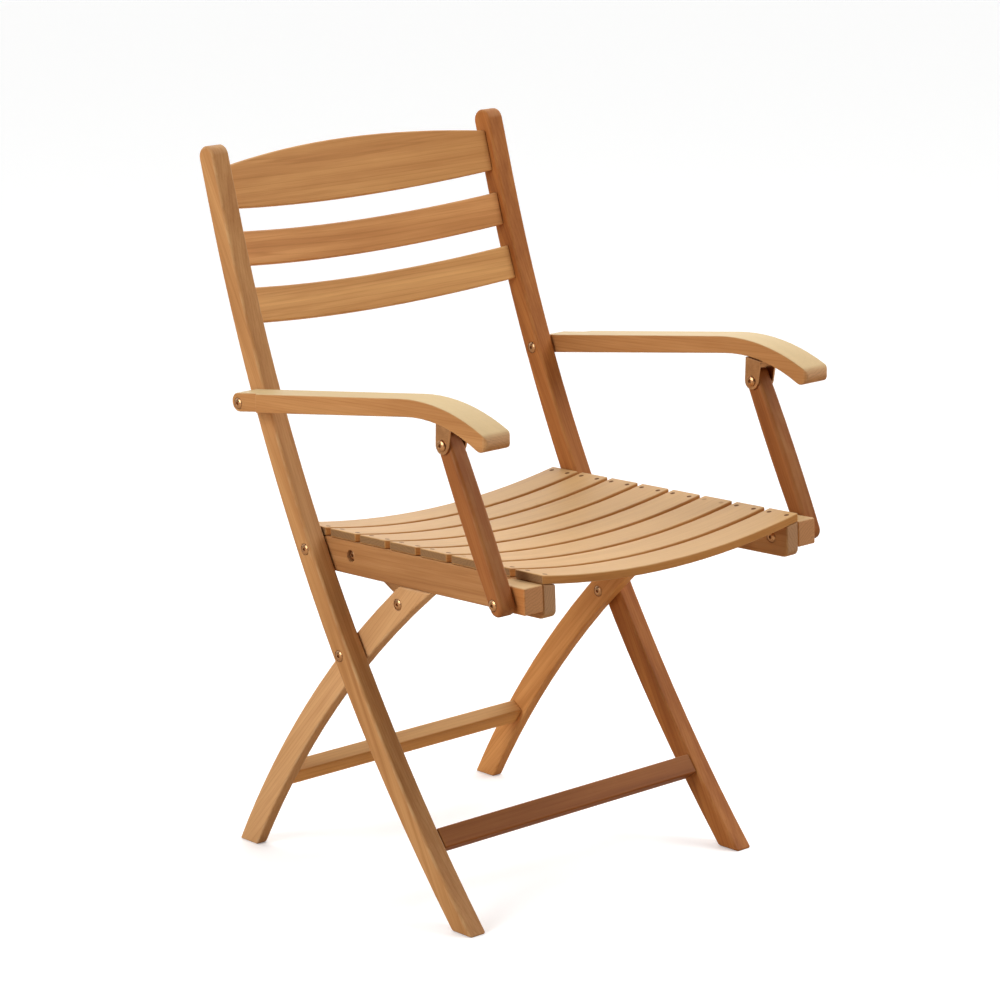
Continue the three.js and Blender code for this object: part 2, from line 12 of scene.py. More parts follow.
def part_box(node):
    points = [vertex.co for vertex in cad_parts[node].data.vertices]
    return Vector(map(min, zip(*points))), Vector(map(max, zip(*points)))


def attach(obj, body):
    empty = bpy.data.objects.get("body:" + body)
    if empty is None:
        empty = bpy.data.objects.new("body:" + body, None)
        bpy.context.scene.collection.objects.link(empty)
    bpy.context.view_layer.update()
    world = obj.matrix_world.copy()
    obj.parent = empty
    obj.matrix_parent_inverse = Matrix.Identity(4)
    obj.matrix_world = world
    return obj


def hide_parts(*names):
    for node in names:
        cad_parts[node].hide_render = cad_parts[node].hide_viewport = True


# A teak folding armchair. Each timber piece, bracket and link is made from its CAD node: the same faces,
# with the edges rounded as a maker would round them. Bolts, nuts, plugs and washers are modelled in full.
# Blender's unit is the metre, and sizes marked mm are turned into metres where they are used.
# The sitter faces -Y, and the sitter's left is +X.

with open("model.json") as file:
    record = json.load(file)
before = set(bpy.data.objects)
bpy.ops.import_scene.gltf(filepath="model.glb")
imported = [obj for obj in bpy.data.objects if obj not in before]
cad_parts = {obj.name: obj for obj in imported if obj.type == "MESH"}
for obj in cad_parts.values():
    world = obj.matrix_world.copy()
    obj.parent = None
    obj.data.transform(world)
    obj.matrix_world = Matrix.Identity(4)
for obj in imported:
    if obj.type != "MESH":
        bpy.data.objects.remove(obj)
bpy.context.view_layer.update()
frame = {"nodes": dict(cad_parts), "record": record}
record = frame["record"]

MM = 0.001

# ---------- what each piece is made of ----------

# Each kind of timber piece, by its node's name or the start of it: its edge rounding in mm, its colour
# against plain teak, how much of the darker streaks it shows, how far its top goes paler, and how pale its
# end grain is. The colour and the end grain's paleness are partly the wood's own tone and partly painted
# light and shade: the left post, the strut and the front stretcher are darkened as painted shade, the back
# slats and rear legs are lightened as painted light, and the left and right posts and rear legs are lit and
# shaded copies. The paler top is partly sun bleaching and partly a painted sheen.
TIMBER = {
    "post_left": (3.4, (0.86, 0.68, 0.48), 0.65, 0.0, 1.0),
    "post_right": (3.4, (0.98, 1.05, 1.12), 0.5, 0.0, 1.0),
    "back_slat_top": (2.2, (1.24, 1.30, 1.27), 0.4, 0.1, 1.0),
    "back_slat_middle": (2.2, (1.31, 1.32, 1.32), 0.5, 0.1, 1.0),
    "back_slat_bottom": (2.2, (1.36, 1.50, 1.50), 0.45, 0.1, 1.0),
    "front_stretcher": (2.2, (0.58, 0.40, 0.23), 0.5, 0.1, 1.0),
    "rear_leg_left": (2.6, (1.24, 1.22, 1.12), 0.4, 0.0, 1.0),
    "rear_leg_right": (2.6, (1.18, 1.40, 1.80), 0.35, 0.0, 1.0),
    "rear_stretcher": (2.2, (1.35, 1.45, 1.30), 0.4, 0.4, 1.0),
    "seat_rail": (2.2, (0.84, 0.86, 0.90), 0.6, 0.1, 1.5),
    "spacer_block": (1.8, (1.10, 0.98, 0.86), 0.5, 0.6, 1.35),
    "seat_slat": (1.6, (1.02, 1.00, 0.84), 0.3, 0.4, 0.68),
    "arm": (1.2, (0.94, 0.96, 0.97), 0.4, 0.8, 1.8),
    "strut": (4.6, (0.66, 0.50, 0.37), 0.5, 0.0, 1.0),
}
METAL_PLATES = ("strut_bracket", "fold_link")
PLATE_ROUND = 0.5  # mm, the edge rounding of those

# How the edges of a CAD solid are found and rounded.
WELD = 0.01 * MM  # corners of the CAD mesh closer than this are one corner
FLAT = math.radians(0.4)  # faces that meet at less than this are one flat face
SHARP = math.radians(28)  # edges that turn by more than this are rounded
SMOOTH_UNDER = math.radians(40)  # edges that turn by less than this are shaded smooth
ROUND_STEPS = 4
BORE_RADIUS = 7.8  # mm from a pivot's middle: faces within it belong to a bore or a counterbore
BORE_OVERRUN = 1.0  # mm that the cutter of a bore passes the faces it opens on

# Bolts and nuts, whose heads look alike, in mm: (radius, depth under the top of the head), from the floor
# of the hexagon socket outwards.
SEGMENTS = 36
SOCKET_SIDES = 6
SHANK_RADIUS = 4.0
SHANK_BREAK = 0.4
SOCKET = ((1.9, 2.1), (1.95, 0.35), (2.2, 0.12))
HEAD = ((3.0, 0.12), (4.4, 0.42), (5.6, 0.95), (6.4, 1.45), (6.8, 2.0), (6.8, 2.75), (6.6, 2.9),
        (SHANK_RADIUS, 2.9))

# Washers, in mm, and where they are: pivot, piece on the inner side, piece on the outer side, and the body
# that carries each.
WASHER_BORE = 4.3
WASHER_RADIUS = 9.0
WASHER_BREAK = 0.25
WASHER_CLEARANCE = 0.05
WASHERS = (
    ("seat_pivot", "seat_rail", "post", "root"),
    ("leg_pivot", "rear_leg", "post", "root"),
    ("arm_pivot", "post", "arm", "root"),
    ("strut_foot", "spacer_block", "strut", "seat"),
    ("link_leg", "fold_link", "rear_leg", "rear_legs"),
)

# Plugs over the screws of the seat slats, in mm.
PLUG_RADIUS = 3.1
PLUG_BREAK = 0.3
PLUG_PROUD = 0.08
PLUG_DEPTH = 2.0
PLUG_FROM_END = 11.0
PLUG_SPREAD = 0.3  # from the middle of the slat, in slat widths
PLUG_SEARCH = 1.0  # metres above a slat, from where its surface is looked for
PALE_PLUGS_ON = "seat_slat_3"  # its plugs were cut from the same pale wood as the slat

# Where a piece's middle lay in its tree, in metres: up the trunk, and out from the tree's middle two ways.
LOG_ALONG = (0, 20)
LOG_ACROSS = (0.02, 0.06)
LOG_THROUGH = (0.05, 0.11)

END_GRAIN_POWER = 6  # how quickly end grain gives way to long grain as a face turns
TOP_POWER = 2  # how quickly the paler top, sun bleaching and a painted sheen, falls off as a face turns from level
FLAT_FACE = 43.2  # in squares of the rounding: a face bigger than this isn't part of a rounding


def family(node):
    """The kind of timber piece a node is, as TIMBER names it, or None if it is metal."""
    if "_bolt_" in node or "_nut_" in node or node.startswith(METAL_PLATES):
        return None
    return next(kind for kind in TIMBER if node == kind or node.startswith(kind + "_"))


def bolt_centres():
    """(y, z) of every pivot, from the bolts' boxes."""
    centres = []
    for node in frame["nodes"]:
        if node.endswith("_bolt_left"):
            low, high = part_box(node)
            centres.append(((low + high) / 2).yz)
    return centres


PIVOTS = bolt_centres()

# ---------- meshes ----------


def whole_faces(node):
    """The node's solid as a bmesh, with its corners joined and its flat faces in one piece."""
    source = frame["nodes"][node].data
    shape = bmesh.new()
    corners = [shape.verts.new(v.co) for v in source.vertices]
    shape.verts.ensure_lookup_table()
    for polygon in source.polygons:
        shape.faces.new([corners[i] for i in polygon.vertices])
    bmesh.ops.remove_doubles(shape, verts=shape.verts, dist=WELD)
    bmesh.ops.dissolve_limit(shape, angle_limit=FLAT, verts=shape.verts, edges=shape.edges)
    bmesh.ops.recalc_face_normals(shape, faces=shape.faces)
    return shape


def in_bore(face):
    """True if the face is part of a bore or counterbore round a pivot."""
    return any(
        all((corner.co.yz - pivot).length < BORE_RADIUS * MM for corner in face.verts)
        for pivot in PIVOTS
    )


def rims(shape):
    """The corners on the rims of a solid's bores, and which way is out at each."""
    outward = {}
    for edge in shape.edges:
        surfaces = [face for face in edge.link_faces if not in_bore(face)]
        if len(surfaces) == 1:
            for corner in edge.verts:
                outward[corner.index] = surfaces[0].normal.copy()
    return outward


def keep_faces(shape, wanted):
    """Drops the other faces of a solid and closes what is left."""
    unwanted = [face for face in shape.faces if in_bore(face) != wanted]
    bmesh.ops.delete(shape, geom=unwanted, context="FACES")
    bmesh.ops.holes_fill(shape, edges=[edge for edge in shape.edges if edge.is_boundary], sides=0)
    bmesh.ops.recalc_face_normals(shape, faces=shape.faces)


def bores_of(shape):
    """The bores of a solid as solids themselves, a little longer at each open end."""
    bores = shape.copy()
    bores.verts.ensure_lookup_table()
    for index, outward in rims(shape).items():
        bores.verts[index].co += outward * BORE_OVERRUN * MM
    keep_faces(bores, True)
    return bores


def as_object(shape, name):
    """An object in the scene made of a bmesh, which is used up."""
    mesh = bpy.data.meshes.new(name)
    shape.to_mesh(mesh)
    shape.free()
    thing = bpy.data.objects.new(name, mesh)
    bpy.context.scene.collection.objects.link(thing)
    return thing


def bored(thing, bores):
    """Cuts bores out of an object."""
    cutter = as_object(bores, "cutter")
    cut = thing.modifiers.new("bores", "BOOLEAN")
    cut.object = cutter
    cut.solver = "EXACT"
    result = bpy.data.meshes.new_from_object(thing.evaluated_get(bpy.context.evaluated_depsgraph_get()))
    thing.modifiers.clear()
    thing.data = result
    bpy.data.objects.remove(cutter)


def rounded(node, radius, name):
    """An object of the node's solid with its edges rounded and its bores cut through them."""
    shape = whole_faces(node)
    shape.verts.index_update()
    bores = bores_of(shape)
    keep_faces(shape, False)
    bmesh.ops.dissolve_limit(shape, angle_limit=FLAT, verts=shape.verts, edges=shape.edges)
    sharp = [e for e in shape.edges if e.is_manifold and e.calc_face_angle() > SHARP]
    bmesh.ops.bevel(shape, geom=sharp, offset=radius * MM, offset_type="OFFSET",
                    segments=ROUND_STEPS, profile=0.5, affect="EDGES", clamp_overlap=False)
    thing = as_object(shape, name)
    if bores.faces:
        bored(thing, bores)
    return smooth(thing)


def ring_of(shape, place, radius, height, sides=0):
    """A ring of corners round a bolt's axis: round, or a polygon of so many sides, radius to a flat.

    place turns (across, across, along) in mm into a point.
    """
    ring = []
    for step in range(SEGMENTS):
        angle = math.tau * step / SEGMENTS
        reach = radius
        if sides:
            part = math.tau / sides
            reach = radius / math.cos(angle % part - part / 2)
        ring.append(shape.verts.new(place(reach * math.cos(angle), reach * math.sin(angle), height)))
    return ring


def skin(shape, rings):
    """Joins each ring to the next."""
    for near, far in zip(rings, rings[1:]):
        for i in range(SEGMENTS):
            j = (i + 1) % SEGMENTS
            shape.faces.new((near[i], near[j], far[j], far[i]))


def fastener(low, high, head_out):
    """A bolt or nut in its node's box: a domed head with a hexagon socket, and its shank.

    head_out is 1 if the head is at the box's +X end and -1 if it is at the other.
    """
    middle = (low + high) / 2
    head_end = high.x if head_out > 0 else low.x
    length = (high.x - low.x) / MM

    def place(across, up, along):
        return (head_end - head_out * along * MM, middle.y + across * MM, middle.z + up * MM)

    shape = bmesh.new()
    rings = [ring_of(shape, place, radius, depth, SOCKET_SIDES) for radius, depth in SOCKET]
    rings += [ring_of(shape, place, radius, depth) for radius, depth in HEAD]
    rings += [ring_of(shape, place, SHANK_RADIUS, length - SHANK_BREAK)]
    rings += [ring_of(shape, place, SHANK_RADIUS - SHANK_BREAK, length)]
    skin(shape, rings)
    shape.faces.new(rings[0])
    shape.faces.new(rings[-1])
    bmesh.ops.recalc_face_normals(shape, faces=shape.faces)
    return shape


def add_washer(shape, centre, start, end):
    """A flat washer round the X axis through centre (y, z), from x = start to x = end in mm."""

    def place(across, up, along):
        return (along * MM, centre[0] + across * MM, centre[1] + up * MM)

    inner, outer, edge = WASHER_BORE, WASHER_RADIUS, WASHER_BREAK
    outline = ((inner, start), (outer - edge, start), (outer, start + edge), (outer, end - edge),
               (outer - edge, end), (inner, end))
    rings = [ring_of(shape, place, radius, along) for radius, along in outline]
    skin(shape, rings + rings[:1])


def smooth(thing):
    """Shades an object smooth, but keeps its flat faces flat and its sharp edges sharp."""
    thing.data.shade_smooth()
    thing.data.set_sharp_from_angle(angle=SMOOTH_UNDER)
    weights = thing.modifiers.new("even_shading", "WEIGHTED_NORMAL")
    weights.keep_sharp = True
    return thing


def grain_axes(mesh):
    """Rows: along the grain, across it, and through the thickness. The grain runs where faces don't look."""
    areas = np.array([p.area for p in mesh.polygons])
    normals = np.array([p.normal for p in mesh.polygons])
    spread = (normals * areas[:, None]).T @ normals
    axes = np.linalg.eigh(spread)[1].T
    axes[2] = np.cross(axes[0], axes[1])
    return axes


def straightened(wood):
    """Grain coordinates of a piece bent in its thickness, as they were before it was bent."""
    along, through = wood[:, 0], wood[:, 2]
    wood[:, 2] = through - np.polyval(np.polyfit(along, through, 2), along)
    return wood


def store(mesh, name, form, domain, field, values):
    """Stores a value for each point or face of a mesh, for its material to read."""
    layer = mesh.attributes.new(name, form, domain)
    layer.data.foreach_set(field, values.astype(np.float32).ravel())


def either_side(dice, span):
    """A length within span, to one side or the other."""
    return dice.choice((-1, 1)) * dice.uniform(*span)


def add_grain(thing, seed, bent):
    """Stores each point's place in its tree, and each face's end grain and how far it faces up."""
    mesh = thing.data
    axes = grain_axes(mesh)
    places = np.array([v.co for v in mesh.vertices])
    normals = np.array([p.normal for p in mesh.polygons])
    dice = random.Random(seed)
    log = np.array([
        dice.uniform(*LOG_ALONG),
        either_side(dice, LOG_ACROSS),
        either_side(dice, LOG_THROUGH),
    ])
    wood = (places - places.mean(0)) @ axes.T
    wood = (straightened(wood) if bent else wood) + log
    facing = np.abs(normals @ axes[0])
    upward = np.clip(normals[:, 2], 0, 1)
    store(mesh, "grain", "FLOAT_VECTOR", "POINT", "vector", wood)
    store(mesh, "end_grain", "FLOAT", "FACE", "value", facing ** END_GRAIN_POWER)
    # How far each face looks up, which pales its top: partly sun bleaching, partly a painted sheen.
    store(mesh, "top", "FLOAT", "FACE", "value", upward ** TOP_POWER)


def mark_edges(thing, radius):
    """Stores which points wear: 1 where only small faces meet, as on a rounding, and 0 on a flat face."""
    mesh = thing.data
    worn = np.ones(len(mesh.vertices))
    for polygon in mesh.polygons:
        if polygon.area > FLAT_FACE * (radius * MM) ** 2:
            worn[list(polygon.vertices)] = 0
    store(mesh, "worn", "FLOAT", "POINT", "value", worn)


# ---------- materials ----------

NOISE_LOW = 0.2
NOISE_HIGH = 0.8

# Sockets of a Mix node that mixes colours. By name they can't be told from its other sockets.
MIX_FACTOR = 0
MIX_FIRST = 6
MIX_SECOND = 7
MIX_RESULT = 2


def grey(value):
    """A grey colour."""
    return (value, value, value)


class Graph:
    """A material's nodes, with links made as they are added."""

    def __init__(self, name):
        self.material = bpy.data.materials.new(name)
        self.material.use_nodes = True
        self.tree = self.material.node_tree
        self.shader = self.tree.nodes["Principled BSDF"]

    def add(self, kind, inputs=None, output=0, **settings):
        """Adds a node. inputs maps a socket's name or number to a value or to another node's output."""
        node = self.tree.nodes.new(kind)
        for key, value in settings.items():
            setattr(node, key, value)
        for socket, value in (inputs or {}).items():
            self.feed(node.inputs[socket], value)
        return node.outputs[output]

    def feed(self, socket, value):
        """Links a socket to another node's output, or sets it to a value."""
        if isinstance(value, bpy.types.NodeSocket):
            self.tree.links.new(value, socket)
        else:
            socket.default_value = value

    def math(self, operation, first, second=0.0, third=0.0):
        """The result of a Math node on numbers or outputs."""
        return self.add("ShaderNodeMath", {0: first, 1: second, 2: third}, operation=operation)

    def stretch(self, vector, along, across):
        """A place, scaled along the grain (its first axis) and across it."""
        return self.add("ShaderNodeVectorMath", {0: vector, 1: (along, across, across)},
                        operation="MULTIPLY")

    def noise(self, vector, detail=3.0, rough=0.55):
        """Cloudy noise, mostly between NOISE_LOW and NOISE_HIGH."""
        return self.add("ShaderNodeTexNoise", {"Vector": vector, "Scale": 1.0, "Detail": detail,
                                               "Roughness": rough})

    def ramp(self, value, *stops):
        """Colour or grey by value, from (position, (r, g, b)) stops."""
        node = self.tree.nodes.new("ShaderNodeValToRGB")
        elements = node.color_ramp.elements
        while len(elements) < len(stops):
            elements.new(0.5)
        for element, (position, colour) in zip(elements, stops):
            element.position = position
            element.color = (*colour, 1)
        self.tree.links.new(value, node.inputs[0])
        return node.outputs[0]

    def mix(self, factor, first, second, blend="MIX"):
        """Two colours mixed or multiplied, as far as factor says."""
        node = self.tree.nodes.new("ShaderNodeMix")
        node.data_type = "RGBA"
        node.blend_type = blend
        self.feed(node.inputs[MIX_FACTOR], factor)
        self.feed(node.inputs[MIX_FIRST], first)
        self.feed(node.inputs[MIX_SECOND], second)
        return node.outputs[MIX_RESULT]

    def surface(self, colour, roughness):
        """Gives the shader its colour and its roughness."""
        self.feed(self.shader.inputs["Base Color"], colour)
        self.feed(self.shader.inputs["Roughness"], roughness)

    def relief(self, height, strength, distance):
        """Gives the shader a relief of so many metres."""
        bump = self.add("ShaderNodeBump", {"Strength": strength, "Distance": distance, "Height": height})
        self.feed(self.shader.inputs["Normal"], bump)


TEAK_LIGHT = (0.56, 0.275, 0.100)
TEAK_MID = (0.46, 0.205, 0.068)
TEAK_DARK = (0.31, 0.118, 0.034)
TEAK_END = (0.37, 0.205, 0.105)
# The colour that tops go towards: partly sun-bleached teak, partly a painted sheen.
TEAK_SUN_PALED_AND_SHEEN = (0.60, 0.47, 0.245, 1)
TEAK_WORN = (0.64, 0.40, 0.19, 1)
TONE_PALE = (1.06, 1.06, 1.08)  # the slow change of tone along a timber, as a factor
TONE_WARM = (0.93, 0.89, 0.84)
TEAK_IOR = 1.28

# How fine each layer of teak's figure is, along the grain and across it, in ripples a metre.
BEND_SCALE = (1.6, 5.0)
UNEVEN_SCALE = (0.8, 120.0)
STREAK_SCALE = (3.0, 75.0)
FIBRE_SCALE = (22.0, 1100.0)
FIGURE_SCALE = (3.5, 16.0)
PORE_SCALE = (300.0, 900.0)
WEAR_SCALE = (30.0, 90.0)

# Growth rings. The shades run from the start of one year's wood to its end, 0 pale and 1 dark.
BEND_REACH = 0.005  # how far the rings wander, in metres
RINGS_A_METRE = 270.0
UNEVEN_RINGS = 1.6  # how far a ring may be out of its place, in rings
RING_SHADES = ((0.0, 0.66), (0.1, 0.16), (0.6, 0.2), (0.86, 0.34), (1.0, 0.66))

# How much each layer darkens long grain, and how much each darkens end grain.
RING_DEPTH = 0.42
FIBRE_DEPTH = 0.34
END_RING_DEPTH = 0.7
END_PORE_DEPTH = 0.5
END_PALEST = 1.12  # against TEAK_END
END_DARKEST = 0.72
WEAR_DEPTH = 0.35  # how far worn edges go towards TEAK_WORN

# Roughness: its base, and what fibres and end grain add.
TEAK_ROUGHNESS = 0.46
FIBRE_ROUGHNESS = 0.16
END_ROUGHNESS = 0.15

# Relief: how high fibres and rings stand, and the whole of it as strength and metres.
FIBRE_HEIGHT = 0.7
RING_HEIGHT = 0.5
TEAK_RELIEF = (0.25, 0.0002)


def growth_rings(graph, wood):
    """The place after the grain's slow bends, and how dark each growth ring is there."""
    bend = graph.noise(graph.stretch(wood, *BEND_SCALE), detail=1.0)
    span = {"From Min": NOISE_LOW, "From Max": NOISE_HIGH, "To Min": -BEND_REACH, "To Max": BEND_REACH}
    sway = graph.add("ShaderNodeMapRange", {"Value": bend, **span})
    shift = graph.add("ShaderNodeCombineXYZ", {"Y": sway, "Z": sway})
    bent = graph.add("ShaderNodeVectorMath", {0: wood, 1: shift}, operation="ADD")
    across = graph.add("ShaderNodeVectorMath", {0: bent, 1: (0, 1, 1)}, operation="MULTIPLY")
    depth = graph.add("ShaderNodeVectorMath", {0: across}, output="Value", operation="LENGTH")
    uneven = graph.noise(graph.stretch(bent, *UNEVEN_SCALE), detail=1.0)
    uneven = graph.math("MULTIPLY", uneven, UNEVEN_RINGS)
    phase = graph.math("ADD", graph.math("MULTIPLY", depth, RINGS_A_METRE), uneven)
    shades = [(position, grey(shade)) for position, shade in RING_SHADES]
    return bent, graph.ramp(graph.math("FRACT", phase), *shades)


def long_grain(graph, wood, bent, rings, fibre, streaks):
    """Colour of teak cut along the grain: rings, darker streaks, fine fibres and a slow change of tone."""
    streak = graph.noise(graph.stretch(bent, *STREAK_SCALE), detail=4.0, rough=0.6)
    streak = graph.ramp(streak, (0.35, grey(0.0)), (0.7, grey(1.0)))
    shade = graph.math("MULTIPLY", rings, RING_DEPTH)
    shade = graph.math("ADD", shade, graph.math("MULTIPLY", streak, streaks))
    shade = graph.math("ADD", shade, graph.math("MULTIPLY_ADD", fibre, FIBRE_DEPTH, -FIBRE_DEPTH / 2))
    colour = graph.ramp(shade, (0.05, TEAK_LIGHT), (0.42, TEAK_MID), (1.0, TEAK_DARK))
    figure = graph.noise(graph.stretch(wood, *FIGURE_SCALE), detail=3.0, rough=0.5)
    tone = graph.ramp(figure, (0.3, TONE_PALE), (0.7, TONE_WARM))
    return graph.mix(1.0, colour, tone, "MULTIPLY")


def cut_end(graph, wood, rings, end_tone_and_painted_light):
    """Colour of teak cut across the grain: rings and open pores."""
    pores = graph.noise(graph.stretch(wood, *PORE_SCALE), detail=2.0)
    shade = graph.math("MULTIPLY", rings, END_RING_DEPTH)
    shade = graph.math("ADD", shade, graph.math("MULTIPLY", pores, END_PORE_DEPTH))
    # The end grain's paleness is partly its own tone and partly painted light on shaded ends.
    palest = tuple(END_PALEST * end_tone_and_painted_light * part for part in TEAK_END)
    darkest = tuple(END_DARKEST * end_tone_and_painted_light * part for part in TEAK_END)
    return graph.ramp(shade, (0.2, palest), (0.85, darkest))


def wear(graph, wood):
    """How worn each place is: rounded edges only, and in patches."""
    edge = graph.add("ShaderNodeAttribute", output="Fac", attribute_name="worn")
    patches = graph.noise(graph.stretch(wood, *WEAR_SCALE))
    patches = graph.ramp(patches, (0.4, grey(0.0)), (0.65, grey(1.0)))
    return graph.math("MULTIPLY", graph.math("MULTIPLY", edge, patches), WEAR_DEPTH)


def teak(name, tint_and_painted_light, streaks, sun_paling_and_painted_sheen, end_tone_and_painted_light):
    """Oiled teak, worn along its edges, its colour partly painted light and shade, and paler on top as sun
    bleaching and as a painted sheen.
    """
    graph = Graph(name)
    wood = graph.add("ShaderNodeAttribute", output="Vector", attribute_name="grain")
    end = graph.add("ShaderNodeAttribute", output="Fac", attribute_name="end_grain")
    top = graph.add("ShaderNodeAttribute", output="Fac", attribute_name="top")
    fibre = graph.noise(graph.stretch(wood, *FIBRE_SCALE), detail=2.0)
    bent, rings = growth_rings(graph, wood)

    colour = long_grain(graph, wood, bent, rings, fibre, streaks)
    colour = graph.mix(end, colour, cut_end(graph, wood, rings, end_tone_and_painted_light))
    colour = graph.mix(wear(graph, wood), colour, TEAK_WORN)
    # The piece's colour factor is partly its own tone and partly painted light and shade.
    colour = graph.mix(1.0, colour, (*tint_and_painted_light, 1), "MULTIPLY")
    # Tops go paler, partly as sun bleaching and partly as a painted sheen.
    colour = graph.mix(graph.math("MULTIPLY", top, sun_paling_and_painted_sheen), colour, TEAK_SUN_PALED_AND_SHEEN)
    roughness = graph.math("MULTIPLY_ADD", fibre, FIBRE_ROUGHNESS, TEAK_ROUGHNESS)
    roughness = graph.math("ADD", roughness, graph.math("MULTIPLY", end, END_ROUGHNESS))
    graph.surface(colour, roughness)
    height = graph.math("MULTIPLY", fibre, FIBRE_HEIGHT)
    height = graph.math("ADD", height, graph.math("MULTIPLY", rings, RING_HEIGHT))
    graph.relief(height, *TEAK_RELIEF)
    graph.shader.inputs["IOR"].default_value = TEAK_IOR
    return graph.material


BRONZE_LIGHT = (0.60, 0.34, 0.17)
BRONZE_DARK = (0.44, 0.23, 0.11)
BRONZE_ROUGHNESS = 0.2
SCRATCH_ROUGHNESS = 0.22
BRONZE_RELIEF = (0.15, 0.0001)  # strength and metres
CLOUD_SCALE = (90, 90)  # ripples a metre along X and across it
SCRATCH_SCALE = (900, 2500)


def bronze():
    """Aged bronze, clouded and finely scratched."""
    graph = Graph("bronze_aged")
    place = graph.add("ShaderNodeTexCoord", output="Object")
    cloud = graph.noise(graph.stretch(place, *CLOUD_SCALE))
    scratch = graph.noise(graph.stretch(place, *SCRATCH_SCALE))
    colour = graph.ramp(cloud, (0.25, BRONZE_LIGHT), (0.75, BRONZE_DARK))
    graph.surface(colour, graph.math("MULTIPLY_ADD", scratch, SCRATCH_ROUGHNESS, BRONZE_ROUGHNESS))
    graph.relief(scratch, *BRONZE_RELIEF)
    graph.shader.inputs["Metallic"].default_value = 1.0
    return graph.material


SPECK_SCALE = (1500, 1500)
SPECK_ROUGHNESS = 0.2
PLUG_ROUGHNESS = 0.75
PLUG_IOR = 1.2


def plug_wood(name, light, dark):
    """The speckled end grain of the plugs over the seat's screws."""
    graph = Graph(name)
    place = graph.add("ShaderNodeTexCoord", output="Object")
    speck = graph.noise(graph.stretch(place, *SPECK_SCALE))
    colour = graph.ramp(speck, (0.35, light), (0.65, dark))
    graph.surface(colour, graph.math("MULTIPLY_ADD", speck, SPECK_ROUGHNESS, PLUG_ROUGHNESS))
    graph.shader.inputs["IOR"].default_value = PLUG_IOR
    return graph.material


BRONZE = bronze()
PLUG_DARK = plug_wood("plug_dark", (0.20, 0.085, 0.032), (0.09, 0.035, 0.012))
PLUG_PALE = plug_wood("plug_pale", (0.5, 0.31, 0.15), (0.36, 0.2, 0.09))

# ---------- pieces ----------

BODIES = {n: body for body, members in record["behaviour"]["bodies"].items() for n in members}


def stands_for(piece, node):
    """The piece is seen in its node's place, on the same body."""
    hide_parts(node)
    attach(piece, BODIES[node])


def make_timber():
    """Every timber piece, from its CAD node."""
    materials = {}
    for seed, node in enumerate(sorted(frame["nodes"])):
        kind = family(node)
        if kind is None:
            continue
        rounding, *look = TIMBER[kind]
        if kind not in materials:
            materials[kind] = teak("teak_" + kind, *look)
        piece = rounded(node, rounding, node + "_timber")
        add_grain(piece, seed, "slat" in kind)
        mark_edges(piece, rounding)
        piece.data.materials.append(materials[kind])
        stands_for(piece, node)


def make_metal():
    """Bolts and nuts in full, and the flat brackets and links with their edges broken."""
    for node in sorted(frame["nodes"]):
        if "_bolt_" in node or "_nut_" in node:
            outward = 1 if node.endswith("left") else -1
            head_out = outward if "_bolt_" in node else -outward
            piece = smooth(as_object(fastener(*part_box(node), head_out), node + "_turned"))
        elif node.startswith(METAL_PLATES):
            piece = rounded(node, PLATE_ROUND, node + "_plate")
        else:
            continue
        piece.data.materials.append(BRONZE)
        stands_for(piece, node)


def make_washers():
    """One object of washers for each body that carries some."""
    for body in sorted({carrier for *_, carrier in WASHERS}):
        shape = bmesh.new()
        for pivot, inner, outer, carrier in WASHERS:
            if carrier != body:
                continue
            low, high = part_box(pivot + "_bolt_left")
            centre = ((low + high) / 2).yz
            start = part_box(inner + "_left")[1].x / MM + WASHER_CLEARANCE
            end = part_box(outer + "_left")[0].x / MM - WASHER_CLEARANCE
            add_washer(shape, centre, start, end)
            add_washer(shape, centre, -end, -start)
        bmesh.ops.recalc_face_normals(shape, faces=shape.faces)
        piece = smooth(as_object(shape, body + "_washers"))
        piece.data.materials.append(BRONZE)
        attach(piece, body)


def add_plug(shape, spot, up):
    """A round plug let into a slat, its face at right angles to up."""
    turn = up.to_track_quat("Z", "Y").to_matrix()

    def place(across, along, height):
        return spot + turn @ Vector((across * MM, along * MM, height * MM))

    outline = ((PLUG_RADIUS, -PLUG_DEPTH), (PLUG_RADIUS, 0.0), (PLUG_RADIUS - PLUG_BREAK, PLUG_PROUD))
    rings = [ring_of(shape, place, radius, height) for radius, height in outline]
    skin(shape, rings)
    shape.faces.new(rings[0])
    shape.faces.new(rings[-1])


def make_plugs():
    """Two plugs at each end of each seat slat, let into its surface."""
    shapes = {"dark": bmesh.new(), "pale": bmesh.new()}
    for node in sorted(frame["nodes"]):
        if not node.startswith("seat_slat_"):
            continue
        slat = frame["nodes"][node]
        low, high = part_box(node)
        surface = BVHTree.FromPolygons([v.co for v in slat.data.vertices],
                                       [p.vertices for p in slat.data.polygons])
        width = high.y - low.y
        for end in (-1, 1):
            x = end * (high.x - PLUG_FROM_END * MM)
            for part in (0.5 - PLUG_SPREAD, 0.5 + PLUG_SPREAD):
                above = Vector((x, low.y + part * width, high.z + PLUG_SEARCH))
                spot, up, _, _ = surface.ray_cast(above, Vector((0, 0, -1)))
                add_plug(shapes["pale" if node == PALE_PLUGS_ON else "dark"], spot, up)
    for name, material in (("dark", PLUG_DARK), ("pale", PLUG_PALE)):
        bmesh.ops.recalc_face_normals(shapes[name], faces=shapes[name].faces)
        piece = smooth(as_object(shapes[name], "seat_plugs_" + name))
        piece.data.materials.append(material)
        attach(piece, "seat")


make_timber()
make_metal()
make_washers()
make_plugs()

# ---------- camera, light and floor ----------

CAMERA_AZIMUTH = math.radians(-41.722)
CAMERA_ELEVATION = math.radians(13.796)
CAMERA_ROLL = math.radians(0.651)
CAMERA_DISTANCE = 4.5569
CAMERA_TARGET = Vector((0, 0.00736, 0.45494))
CAMERA_LENS = 133.64
CAMERA_SENSOR = 36


